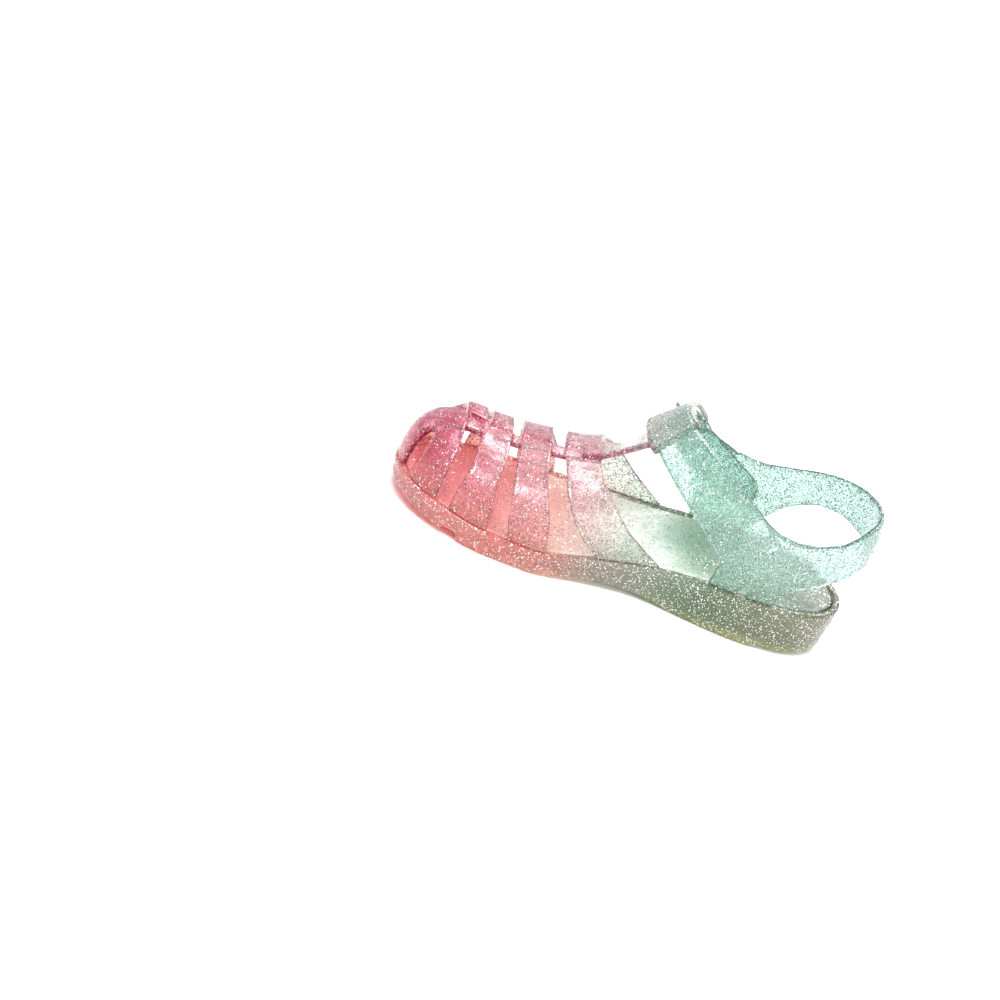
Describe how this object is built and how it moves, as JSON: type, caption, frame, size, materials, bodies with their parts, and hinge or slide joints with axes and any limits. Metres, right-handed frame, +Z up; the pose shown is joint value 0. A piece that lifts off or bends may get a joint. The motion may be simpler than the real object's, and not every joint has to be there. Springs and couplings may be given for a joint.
{
  "type": "jelly sandal",
  "caption": "Right child's moulded jelly sandal with strap cage, T-bar, heel strap and buckled ankle strap on a thick translucent sole.",
  "frame": {"origin": "middle of the bounding box, on the floor under the sole", "axes": "+Z up, -Y towards the toe, +X towards the medial (big toe) side"},
  "size_m": [0.066, 0.1714, 0.0695],
  "materials": {
    "sole_jelly": "glossy clear PVC with silver glitter, coral at the toe to olive at the heel",
    "insole_jelly": "soft satin PVC with silver glitter",
    "cage_jelly": "glossy clear pink PVC with silver glitter",
    "strap_jelly": "glossy clear mint PVC with silver glitter",
    "buckle_metal": "nickel plated steel wire"
  },
  "bodies": {
    "root": {"outsole": "sole_jelly", "insole": "insole_jelly", "upper_cage": "cage_jelly", "ankle_strap": "strap_jelly", "buckle": "buckle_metal", "buckle_prong": "buckle_metal"}
  },
  "joints": []
}
